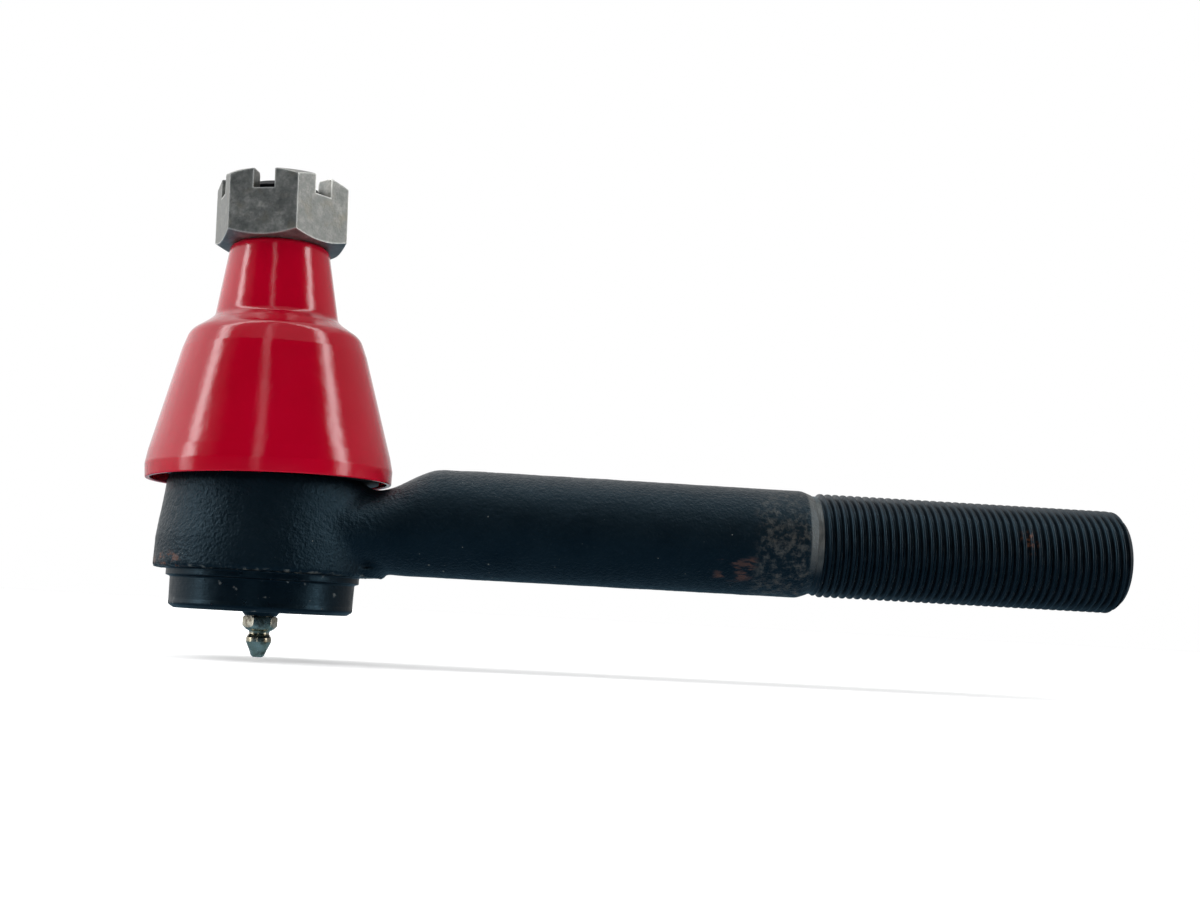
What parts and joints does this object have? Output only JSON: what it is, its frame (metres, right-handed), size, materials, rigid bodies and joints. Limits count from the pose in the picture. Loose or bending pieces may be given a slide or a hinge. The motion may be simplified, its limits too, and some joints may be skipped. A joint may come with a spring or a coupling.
{
  "type": "tie rod end",
  "caption": "Heavy-duty tie rod end: forged ball socket with a male threaded shank, ball stud with slotted nut, red shipping cap and grease fitting.",
  "frame": {"origin": "centre of the ball, where the shank's axis meets the stud's axis", "axes": "+X along the shank towards its threaded end, +Z out of the socket along the stud when it stands square; at rest the stud leans 2.05 degrees towards -X"},
  "size_m": [0.2651, 0.0644, 0.1284],
  "materials": {
    "housing_paint": "rough black paint on a forged surface",
    "cap_red": "glossy red moulded plastic",
    "nut_steel": "bare grey steel",
    "stud_steel": "ground steel",
    "bearing_plastic": "natural acetal",
    "spring_steel": "oiled spring wire",
    "plate_paint": "black paint over pressed steel",
    "seal_rubber": "black rubber",
    "fitting_plate": "bright zinc plate",
    "boot_rubber": "matte black rubber",
    "ring_steel": "dark grey phosphate"
  },
  "bodies": {
    "housing": {"socket_housing": "housing_paint", "upper_bearing": "bearing_plastic", "cover_plate": "plate_paint", "cover_seal_ring": "seal_rubber", "grease_fitting": "fitting_plate", "boot_retainer_ring": "ring_steel", "boot_lower_clamp": "ring_steel"},
    "preload": {"lower_bearing": "bearing_plastic", "spring_seat": "spring_steel", "preload_spring": "spring_steel"},
    "check_valve": {"fitting_check_ball": "spring_steel", "fitting_check_spring": "spring_steel"},
    "boot": {"dust_boot": "boot_rubber"},
    "boot_collar": {"boot_upper_clamp": "ring_steel"},
    "stud": {"ball_stud": "stud_steel"},
    "cap": {"protective_cap": "cap_red"},
    "nut": {"slotted_nut": "nut_steel"}
  },
  "joints": [
    {"name": "stud_tilt_across", "type": "hinge", "parent": "housing", "child": "boot", "pos_m": [0, 0, 0], "axis": [1, 0, 0], "range_deg": [-6, 6], "deforming": ["dust_boot"]},
    {"name": "stud_tilt_along", "type": "hinge", "parent": "boot", "child": "boot_collar", "pos_m": [0, 0, 0], "axis": [0, 1, 0], "range_deg": [-10, 0.8], "deforming": ["dust_boot"]},
    {"name": "stud_spin", "type": "hinge", "parent": "boot_collar", "child": "stud", "pos_m": [0, 0, 0], "axis": [-0.0358, 0, 0.9994], "continuous": true},
    {"name": "cap_lift", "type": "slide", "parent": "stud", "child": "cap", "axis": [-0.0358, 0, 0.9994], "range_m": [0, 0.085]},
    {"name": "nut_turn", "type": "hinge", "parent": "cap", "child": "nut", "pos_m": [-0.00286, 0, 0.07995], "axis": [-0.0358, 0, 0.9994], "continuous": true},
    {"name": "bearing_take_up", "type": "slide", "parent": "housing", "child": "preload", "axis": [0, 0, 1], "range_m": [-0.0005, 0], "stiffness_N_per_m": 40000, "springref_m": 0.002, "deforming": ["preload_spring"]},
    {"name": "check_ball_lift", "type": "slide", "parent": "housing", "child": "check_valve", "axis": [0, 0, 1], "range_m": [0, 0.0008], "stiffness_N_per_m": 400, "springref_m": -0.001, "deforming": ["fitting_check_spring"]}
  ]
}
